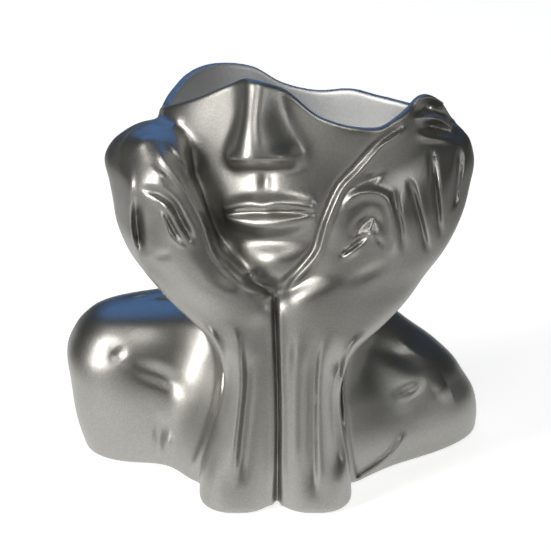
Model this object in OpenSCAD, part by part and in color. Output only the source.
// Head planter: a half face cupped between two hands, on a bust with bare shoulders.
// The casting is one hollow piece. A rubber plug, a drain screen and foot pads go with it.
// Front is -Y, up is +Z, and the origin is on the table under the middle of the piece.

/* [Head] */
// Half width of the head at the cheekbones
head_half_w = 57; // [52:0.5:60]
// Head axis to the front of the cheeks
face_depth = 52; // [47:0.5:57]
// Head axis to the back of the head
skull_depth = 58; // [52:0.5:64]
// Turn of the head about the upright axis
head_turn = -20; // [-30:1:-10]
// Lean of the head back from upright
head_lean = 8; // [4:1:12]
// Lean of the head to the side
head_roll = -7; // [-12:1:-3]
// Height of the chin above the table
chin_z = 89; // [85:0.5:93]

/* [Face] */
// Height of the nose above the cheeks at its tip
nose_height = 17; // [13:0.5:20]
// Half width of the nose at its wings
nose_half_w = 12; // [10:0.5:14]
// Half width of the mouth
mouth_half_w = 18; // [15:0.5:21]
// How far the lips stand out
lip_height = 3.2; // [2:0.1:4.5]
// How far the chin stands out
chin_height = 5; // [3:0.5:7]

/* [Pot] */
// Wall of the pot at the rim and in the head
wall = 4.5; // [3.5:0.25:6]
// Radius of the well in the neck at its floor
well_r = 20; // [18:0.5:22]
// Thickness of the floor under the well
floor_t = 9; // [7:0.5:12]

/* [Arms] */
// Half width of a forearm at the foot
foot_half_w = 15.3; // [13:0.1:17]
// Half depth of a forearm at the foot
foot_half_d = 18.5; // [16:0.5:21]
// Half length of a hand, from the little finger's edge to the thumb's
hand_half_l = 32; // [28:0.5:35]
// Half thickness of a hand
hand_half_t = 16.5; // [14:0.5:18]

// Radius of a finger at its knuckle
finger_r = 5; // [4:0.25:6]
// Radius of a finger at its tip
finger_tip_r = 3.6; // [3:0.1:4.5]

/* [Shoulders] */
// Height of the left shoulder's top
left_shoulder_z = 63.5; // [58:0.5:68]
// Height of the right shoulder's top
right_shoulder_z = 52; // [46:0.5:56]
// Rounding of the casting's bottom edge
edge_round = 2.5; // [1:0.25:4]

/* [Drain] */
// Radius of the drain hole
drain_r = 5; // [4:0.25:6]
// Drain hole's place to the right of the origin
drain_x = 6; // [3:0.5:8]
// Drain hole's place behind the origin
drain_y = 8; // [5:0.5:10]
// Radius of the recess round the drain hole in the underside
recess_r = 13; // [12:0.5:15]
// Depth of that recess
recess_d = 3.5; // [3:0.25:4.5]

/* [Plug, screen and pads] */
// Gap between the plug's shank and the drain hole
plug_gap = 0.1; // [0.05:0.01:0.15]
// Radius of the plug's flange
plug_flange_r = 9; // [8:0.5:11]
// Thickness of the plug's flange
plug_flange_t = 2; // [1.5:0.25:2.5]
// Radius of the drain screen
screen_r = 12; // [9:0.5:14]
// Thickness of the drain screen
screen_t = 1.6; // [1.2:0.1:2.4]
// Radius of a foot pad
pad_r = 6; // [4:0.5:8]
// Thickness of a foot pad
pad_t = 1.6; // [1:0.1:2.5]
// How far a foot pad stands out of its recess
pad_proud = 0.5; // [0.3:0.1:0.8]

/* [Hidden] */

// Head levels: height over the chin, half width, front, back, squareness of the outline
HEAD_LEVELS = [
    [-20, 0.40, 0.30, 0.50, 2.0],
    [ -7, 0.60, 0.46, 0.70, 1.9],
    [  1, 0.72, 0.84, 0.78, 1.9],
    [ 10, 0.82, 0.96, 0.88, 2.1],
    [ 28, 0.92, 1.00, 0.95, 2.35],
    [ 50, 0.98, 1.01, 0.98, 2.45],
    [ 70, 1.00, 1.02, 0.965, 2.4],
    [100, 0.99, 1.02, 0.94, 2.2]];

// Rim: angle from the nose towards the right ear, height over the chin
RIM = [[-180, 67], [-164, 67], [-150, 71], [-137, 79], [-118, 82], [-101, 80], [-84, 75], [-68, 71],
       [-50, 72.5], [-32, 76], [-16, 81], [-3, 84], [10, 79], [24, 68], [44, 62.5], [55, 66], [69, 72],
       [83, 68], [97, 61], [112, 56], [130, 56], [150, 60], [168, 64], [180, 67]];

// Ear: lines of [angle, height], half width, height, on the side of the head
EAR_LINES = [
    [[[68, 65], [77, 65.5], [87, 60]], 2.6, -3.6],
    [[[64, 60], [71, 62.5], [79, 61], [86, 58], [98, 53]], 1.7, 1.6]];

// Arm sections: height, centre across, centre back, half length, half thickness, turn
function forearm_row(z, x, y, w, d, turn) = [z, x, y, w * foot_half_w, d * foot_half_d, turn];
function hand_row(z, x, y, l, t, turn) = [z, x, y, l * hand_half_l, t * hand_half_t, turn];
RIGHT_ARM = [
    forearm_row(0, foot_half_w, -39.5, 1, 1, 0),
    forearm_row(12, 14.8, -39, 0.97, 0.97, 0),
    forearm_row(30, 13.3, -38, 0.88, 0.92, 0),
    forearm_row(45, 12.8, -37.5, 0.85, 0.9, 0),
    forearm_row(58, 13.8, -37.5, 0.92, 0.9, 4),
    hand_row(66, 16.5, -37.5, 0.52, 1.02, 10),
    hand_row(74, 21, -37, 0.7, 1.02, 18),
    hand_row(82, 25.5, -36, 0.86, 1, 24),
    hand_row(90, 30, -34, 0.95, 1, 28),
    hand_row(98, 37.5, -31, 0.93, 1, 32),
    hand_row(106, 42.5, -29, 0.95, 1, 35),
    hand_row(114, 45.5, -28, 1, 0.98, 37),
    hand_row(122, 48, -26, 1, 0.95, 38),
    hand_row(130, 52.5, -21.5, 0.9, 0.92, 40),
    hand_row(136, 55.5, -17, 0.75, 0.87, 42),
    hand_row(140, 57, -14, 0.62, 0.78, 43),
    hand_row(143.5, 57.5, -12, 0.45, 0.55, 44),
    hand_row(145.5, 57.5, -11, 0.2, 0.25, 44)];
LEFT_ARM = [
    forearm_row(0, -foot_half_w, -39.5, 1, 1, 0),
    forearm_row(12, -14.8, -39, 0.97, 0.97, 0),
    forearm_row(24, -13, -38.5, 0.86, 0.93, 0),
    forearm_row(36, -11.3, -38, 0.75, 0.9, 0),
    forearm_row(50, -10, -37.5, 0.67, 0.88, 0),
    forearm_row(60, -10.3, -37.5, 0.69, 0.88, -4),
    hand_row(68, -12, -38, 0.38, 1, -10),
    hand_row(76, -15.8, -38, 0.52, 1, -22),
    hand_row(84, -21.5, -37, 0.72, 0.98, -34),
    hand_row(92, -29, -35, 0.83, 0.94, -44),
    hand_row(100, -37, -31, 0.85, 0.88, -54),
    hand_row(108, -42.5, -28.5, 0.87, 0.84, -60),
    hand_row(116, -44.5, -27.5, 0.88, 0.84, -63),
    hand_row(124, -46.5, -26, 0.87, 0.86, -65),
    hand_row(132, -49, -23.5, 0.84, 0.84, -66),
    hand_row(138, -48, -22, 0.74, 0.76, -66),
    hand_row(142.5, -46, -22, 0.6, 0.62, -66),
    hand_row(146, -44.5, -22, 0.42, 0.42, -66),
    hand_row(148.5, -43, -22, 0.2, 0.2, -66)];

// Torso sections, in the same form, with the height as a share of the shoulder's
LEFT_SHOULDER = [
    [0, -42, 18, 37, 27, 6],
    [0.22, -44, 18, 39, 30, 6],
    [0.47, -45, 18, 40, 31, 6],
    [0.65, -45, 18, 41, 29.5, 6],
    [0.79, -43.5, 18, 39, 26, 6],
    [0.88, -42, 17.5, 36, 22, 6],
    [0.945, -40, 17, 32.5, 17, 6],
    [0.985, -38, 17, 27, 10, 6],
    [1, -36, 17, 20, 3, 6]];
RIGHT_SHOULDER = [
    [0, 43, 16, 44, 26, 36],
    [0.18, 43.5, 17, 44, 27, 36],
    [0.35, 42.5, 18, 43, 27, 35],
    [0.5, 40.5, 19, 40, 26, 34],
    [0.63, 38, 20, 37, 25, 33],
    [0.75, 34, 21, 32, 22, 32],
    [0.85, 29, 22, 27, 18, 30],
    [0.94, 25, 22, 22, 12, 28],
    [1, 22, 22, 16, 4, 28]];
function raised(rows, top) = [for (r = rows) [r[0] * top, r[1], r[2], r[3], r[4], r[5]]];
CHEST = [
    [0, -1, 6, 43, 44, 0],
    [14, -1, 7, 42, 44, 0],
    [30, 0, 9, 39, 42, 0],
    [44, 2, 11, 36, 38, 0],
    [54, 4, 11, 33, 34, 0],
    [64, 6, 11, 31, 32, 0],
    [74, 8.5, 10, 30.5, 32, 0],
    [84, 12, 6, 34, 34, 0],
    [94, 16, 2, 38, 37, 0],
    [102, 17, 0, 40, 40, 0]];

// Places of the foot pads
PADS = [[-16, -38], [16, -38], [-60, 20], [62, 30]];
pad_gap = 0.2;

// Relief on the front of the arms: lines of [x, z], half width, height
RIGHT_LINES = [
    [[[31, 127], [36, 131], [42, 135]], 3.2, -2.2],
    [[[27, 104], [32, 110], [37, 115], [39, 108]], 4.4, -6],
    [[[27, 122], [33, 127], [39, 125.5], [44, 119], [45.5, 111], [44, 102]], 2.8, 1.4],
    [[[50, 131], [52, 119], [55, 107], [57, 99]], 2.6, -2.2],
    [[[61, 137], [62.5, 124], [63.5, 111], [65, 100]], 2.6, -2.4]];
LEFT_LINES = [
    [[[-56, 131], [-56, 117], [-54, 106], [-51, 97]], 2.4, -1.4],
    [[[-49, 126], [-50, 116], [-49, 106], [-46, 100]], 2.8, -2.8],
    [[[-49, 127], [-44, 127], [-39.5, 121], [-36, 113]], 2.6, -2.2],
    [[[-44, 114], [-42, 108], [-38.5, 104]], 3.4, -2.4]];
LEFT_SHOULDER_LINES = [
    [[[-68, 47], [-55, 41], [-46, 34], [-42, 26]], 5, -2.6],
    [[[-44, 30], [-45, 18], [-44, 8]], 4, 2]];

function mix(a, b, t) = a + (b - a) * t;
function share(t) = max(0, min(1, t));
function ease(t) = let (c = share(t)) c * c * (3 - 2 * c);
function bell(t) = exp(-t * t);
function middle(ring) = [for (p = ring) 1] * ring / len(ring);

// Value at t of a smooth curve through rows that start with their own t
function curve_at(rows, t) =
    let (last = len(rows) - 1,
         i = max([for (k = [0 : last - 1]) if (k == 0 || rows[k][0] <= t) k]),
         a = rows[i], b = rows[i + 1], before = rows[max(0, i - 1)], after = rows[min(last, i + 2)],
         span = b[0] - a[0], s = (t - a[0]) / span,
         ma = (b - before) / (b[0] - before[0]) * span, mb = (after - a) / (after[0] - a[0]) * span)
    (2*s*s*s - 3*s*s + 1) * a + (s*s*s - 2*s*s + s) * ma + (3*s*s - 2*s*s*s) * b + (s*s*s - s*s) * mb;

// Height of the lines at one place
function gap_to(p, a, b) =
    let (way = b - a)
    norm(p - a - share((p - a) * way / (way * way)) * way);
function line_height(line, p) =
    line[2] * bell(min([for (k = [0 : len(line[0]) - 2]) gap_to(p, line[0][k], line[0][k + 1])]) / line[1]);
function lines_height(lines, p) =
    len(lines) == 0 ? 0 : [for (line = lines) 1] * [for (line = lines) line_height(line, p)];

// Head frame
function turned_z(p, a) = [p.x * cos(a) - p.y * sin(a), p.x * sin(a) + p.y * cos(a), p.z];
function turned_x(p, a) = [p.x, p.y * cos(a) - p.z * sin(a), p.y * sin(a) + p.z * cos(a)];
function turned_y(p, a) = [p.x * cos(a) + p.z * sin(a), p.y, p.z * cos(a) - p.x * sin(a)];
function head_way(p) = turned_z(turned_x(turned_y(p, head_roll), -head_lean), head_turn);
chin_front = [0, -50, chin_z];
head_o = chin_front - head_way([0, -face_depth, 0]);
function in_head(p) = head_o + head_way(p);

function rim_h(a) = curve_at(RIM, a)[1];

// Relief of the face, outwards, at x across and z over the chin
nose_z = 50;
nose_tip_z = 55;
nose_bridge = 34;
wing_z = 54;
mouth_z = 33;
upper_lip = 3.6;
lower_lip = 5;
function nose(x, z) =
    let (up = (z - nose_tip_z) / nose_bridge,
         ridge = z < nose_tip_z ? nose_height * ease((z - nose_z + 2) / 7)
                                : mix(nose_height, nose_height * 0.36, ease(up)),
         w = nose_half_w * mix(0.8, 0.55, ease(2 * up)))
    ridge * bell(pow(abs(x) / w, 1.15))
    + nose_height * 0.26 * bell((abs(x) - nose_half_w * 0.78) / 4) * bell((z - wing_z) / 4.2);
function lips(x, z) =
    let (open = sqrt(max(0, 1 - pow(x / mouth_half_w, 2))), bow = 0.9 * bell(x / 3))
    lip_height * 1.05 * open * bell((z - mouth_z - upper_lip + bow + x * x / 110) / 3)
    + lip_height * 1.15 * open * bell((z - mouth_z + lower_lip - x * x / 90) / 3.6)
    - lip_height * 0.69 * sqrt(open) * bell((z - mouth_z + x * x / 260) / 1.3);

// Soft forms of the face: place across, height, half width, half height, how far out
FACE_FORMS = [
    [0, 36, 21, 15, 4],
    [0, 11, 13, 9, chin_height],
    [0, 21.5, 15, 4, -2.2],
    [0, 44, 2.4, 4, -1.1],
    [37, 64, 13, 15, 2.5]];
function form_height(f, x, z) = f[4] * bell((abs(x) - f[0]) / f[2]) * bell((z - f[1]) / f[3]);
function relief(x, z) =
    nose(x, z) + lips(x, z) + [for (f = FACE_FORMS) 1] * [for (f = FACE_FORMS) form_height(f, x, z)];

// Plan reach of the head at angle a from the nose and height z, without and with the face
function head_plan(a, z) =
    let (v = curve_at(HEAD_LEVELS, z), s = abs(sin(a)) / (v[1] * head_half_w),
         c = abs(cos(a)) / (cos(a) > 0 ? v[2] * face_depth : v[3] * skull_depth))
    pow(pow(s, v[4]) + pow(c, v[4]), -1 / v[4]);
face_end = 100;
function head_reach(a, z) =
    let (r = head_plan(a, z))
    r + relief(r * sin(a), z) * ease((face_end - abs(a)) / 15) + lines_height(EAR_LINES, [a, z]);
function head_point(a, z, out = 0) =
    let (r = head_reach(a, z) + out) [r * sin(a), -r * cos(a), z];

// Closed skin over rings of points, first and last ring capped by their middles
module skin(rings) {
    n = len(rings[0]);
    m = len(rings);
    points = concat([for (ring = rings) each ring], [middle(rings[0]), middle(rings[m - 1])]);
    polyhedron(points, concat(
        [for (j = [0 : m - 2], i = [0 : n - 1]) let (k = (i + 1) % n) [j*n + i, (j+1)*n + i, (j+1)*n + k]],
        [for (j = [0 : m - 2], i = [0 : n - 1]) let (k = (i + 1) % n) [j*n + i, (j+1)*n + k, j*n + k]],
        [for (i = [0 : n - 1]) [m*n, i, (i + 1) % n]],
        [for (i = [0 : n - 1]) [m*n + 1, (m-1)*n + (i + 1) % n, (m-1)*n + i]]));
}

// Angles of the head's columns, closest round the face and the ear
ANGLES = concat([for (a = [-180 : 12 : -84]) a], [for (a = [-75 : 8 : -43]) a],
                [for (a = [-36 : 3.6 : 36.1]) a], [for (a = [41 : 6 : 71]) a],
                [for (a = [75 : 4 : 115]) a], [for (a = [124 : 12 : 172]) a]);
// Heights of its rows over the chin, and above them as shares of the way to the rim
LOW_ROWS = [-12, -4, 2, 8, 13, 18, 21.5, 24.5, 27, 29.5, 31.3, 32.5, 33.7, 35, 37, 39.5, 43, 46.5,
            48.5, 50, 51.5, 53];
HIGH_ROWS = [0.1, 0.25, 0.42, 0.6, 0.8];
low_top = LOW_ROWS[len(LOW_ROWS) - 1];

// Place on the rim's round lip: how far in from the outside and how far up from its foot
lip = wall / 2;
function lip_point(a, inwards, up) =
    in_head(head_point(a, rim_h(a) - lip, -inwards) + [0, 0, up]);

module head_solid() {
    skin(concat(
        [for (z = LOW_ROWS) [for (a = ANGLES) in_head(head_point(a, z))]],
        [for (t = HIGH_ROWS) [for (a = ANGLES) in_head(head_point(a, mix(low_top, rim_h(a) - lip, t)))]],
        [for (q = [0 : 30 : 90]) [for (a = ANGLES) lip_point(a, lip * (1 - cos(q)), lip * sin(q))]],
        [[for (a = ANGLES) lip_point(a, 1.6 * wall, lip)]]));
}

// Limb or shoulder: a skin over rounded sections at the given heights
function section(rows, z, squareness, angles, lines) =
    let (r = curve_at(rows, z), low = max(0, 1 - z / edge_round),
         inset = edge_round * (1 - sqrt(1 - low * low)))
    [for (a = angles)
        let (c = cos(a), s = sin(a),
             u = (r[3] - inset) * sign(c) * pow(abs(c), 2 / squareness),
             v = (r[4] - inset) * sign(s) * pow(abs(s), 2 / squareness),
             q = [u * cos(r[5]) - v * sin(r[5]), u * sin(r[5]) + v * cos(r[5])],
             h = lines_height(lines, [r[1] + q.x, z]) * ease(0.5 - q.y / 8),
             p = q * (1 + h / norm(q)))
        [r[1] + p.x, r[2] + p.y, z]];
module limb(rows, heights, squareness, angles, lines = []) {
    skin([for (z = heights) section(rows, z, squareness, angles, lines)]);
}
BASE_HEIGHTS = edge_round * [0, 0.24, 0.56, 1];
FOOT_HEIGHTS = concat(BASE_HEIGHTS, [12, 24, 36, 48, 58]);
ARM_HEIGHTS = concat(FOOT_HEIGHTS, [for (z = [64 : 6 : 94]) z], [for (z = [98 : 3 : 141]) z]);
// Closest on the front, where the fingers are
ARM_ANGLES = concat([for (a = [0 : 24 : 168]) a], [for (a = [180 : 7.5 : 354]) a]);
ROUND_ANGLES = [for (a = [0 : 12 : 348]) a];

SHOULDER_SHARES = [0.15, 0.3, 0.45, 0.58, 0.7, 0.79, 0.86, 0.92, 0.96, 0.985, 1];

arm_squareness = 2.2;
module arms() {
    limb(RIGHT_ARM, concat(ARM_HEIGHTS, [143.5, 145.4]), arm_squareness, ARM_ANGLES, RIGHT_LINES);
    limb(LEFT_ARM, concat(ARM_HEIGHTS, [143.5, 146, 147.6, 148.4]), arm_squareness, ARM_ANGLES, LEFT_LINES);
}

shoulder_squareness = 2.6;
chest_squareness = 2.5;
module shoulder(rows, top, lines = []) {
    limb(raised(rows, top), concat(BASE_HEIGHTS, top * SHOULDER_SHARES), shoulder_squareness,
         ROUND_ANGLES, lines);
}
// Yoke: the back between the base of the neck and the two shoulders
YOKE = [[7, 21, 57], [-44, 22, left_shoulder_z - 27], [44, 26, right_shoulder_z - 27]];
yoke_r = 26;
module yoke() {
    hull() for (p = YOKE) translate(p) sphere(yoke_r, $fn = 24);
}

module torso() {
    yoke();
    shoulder(LEFT_SHOULDER, left_shoulder_z, LEFT_SHOULDER_LINES);
    shoulder(RIGHT_SHOULDER, right_shoulder_z);
    limb(CHEST, concat(BASE_HEIGHTS, [for (z = [12 : 11 : 100]) z]), chest_squareness, ROUND_ANGLES);
}

// Fingers folded along the cheeks: points on each finger's middle, from the knuckle to the tip
RIGHT_FINGER = [[50, -23, 137], [43, -31, 135], [35, -39, 130], [28, -44, 122], [22.5, -46.5, 112],
                [20, -46.5, 104]];
LEFT_FINGER = [[-42, -33, 138], [-40, -39, 134], [-36.5, -43.5, 128], [-31.5, -46, 119], [-27.5, -47.5, 110],
               [-24, -48, 103]];

// Flesh between each hand and the head behind it: middle and half sizes
RIGHT_PALM = [[54, -4, 112], [16, 24, 26]];
LEFT_PALM = [[-44, -10, 118], [15, 24, 26]];
module palm(p) {
    translate(p[0]) scale(p[1]) sphere(1, $fn = 18);
}

module finger(points) {
    last = len(points) - 1;
    for (i = [0 : last - 1]) hull() for (k = [i, i + 1])
        translate(points[k]) sphere(mix(finger_r, finger_tip_r, k / last), $fn = 12);
}

// Pot: a leaning well in the neck, then a bowl that follows the head a wall's thickness inside it
well_lean = [0.045, -0.01];
well_top = chin_z - 8;
function well_middle(z) = [drain_x, drain_y, z] + [well_lean.x, well_lean.y, 0] * (z - floor_t);
function well_point(a, z) = well_middle(z) + turned_z([well_r * sin(a), -well_r * cos(a), 0], head_turn);
// Heights of the bowl's rows over the chin, with how much of the head's width each takes
BOWL_ROWS = [[8, 0.7], [12, 0.9], [20, 1], [32, 1], [46, 1]];
bowl_top = 46;
clear_up = 20;
function bowl_point(a, z, r) = in_head([r * sin(a), -r * cos(a), z]);
module cavity() {
    angles = [for (a = [-180 : 9 : 179]) a];
    skin(concat(
        [for (z = [floor_t, (floor_t + chin_z) / 2, well_top]) [for (a = angles) well_point(a, z)]],
        [for (row = BOWL_ROWS) [for (a = angles)
            bowl_point(a, row[0], (head_plan(a, row[0]) - wall) * row[1])]],
        [for (t = [0.2, 0.6, 1]) [for (a = angles)
            let (z = mix(bowl_top, rim_h(a) - lip, t))
            bowl_point(a, z, mix(head_plan(a, z), head_reach(a, z), t) - wall)]],
        [for (q = [30, 60]) [for (a = angles) lip_point(a, wall - lip * (1 - cos(q)), lip * sin(q))]],
        [for (up = [1.3 * lip, wall + clear_up]) [for (a = angles) lip_point(a, 0.9 * lip, up)]]));
}

// Block under the casting that trims its foot, and how far cuts run past a face
table = 220;
past = 1;

// Moves everything so that the origin is under the middle of the piece
middle_shift = [0.8, -4.4, 0];
module centred() { translate(middle_shift) children(); }

module bust() {
    color("silver") centred() difference() {
        union() {
            head_solid();
            finger(RIGHT_FINGER);
            finger(LEFT_FINGER);
            palm(RIGHT_PALM);
            palm(LEFT_PALM);
            arms();
            torso();
        }
        cavity();
        translate([-table / 2, -table / 2, -table]) cube([table, table, table + pad_proud]);
        translate([drain_x, drain_y, -past]) cylinder(r = drain_r, h = floor_t + 2 * past, $fn = 48);
        translate([drain_x, drain_y, -past]) cylinder(r = recess_r, h = recess_d + past, $fn = 64);
        for (p = PADS) translate([p.x, p.y, -past])
            cylinder(r = pad_r + pad_gap, h = pad_t + past, $fn = 48);
    }
}

// Rubber plug, pushed in from below, its top just under the screen
plug_under = 0.2;
module drain_plug() {
    color("dimgray") centred() translate([drain_x, drain_y, 0]) {
        translate([0, 0, recess_d - plug_flange_t]) cylinder(r = plug_flange_r, h = plug_flange_t, $fn = 64);
        cylinder(r = drain_r - plug_gap, h = floor_t - plug_under, $fn = 48);
    }
}

// Drain screen, lying on the floor of the well
module drain_screen() {
    pitch = screen_r * 0.29;
    hole_r = pitch * 0.32;
    color("black") centred() translate([drain_x, drain_y, floor_t]) difference() {
        cylinder(r = screen_r, h = screen_t, $fn = 64);
        for (i = [-3 : 3], j = [-3 : 3]) let (x = (i + j / 2) * pitch, y = j * pitch * sin(60))
            if (norm([x, y]) < screen_r - 2.5 * hole_r)
                translate([x, y, -past]) cylinder(r = hole_r, h = screen_t + 2 * past, $fn = 24);
    }
}

// Foot pads, seated in shallow recesses
module foot_pads() {
    color("gray") centred() for (p = PADS) translate([p.x, p.y, 0]) cylinder(r = pad_r, h = pad_t, $fn = 48);
}

bust();
drain_plug();
drain_screen();
foot_pads();
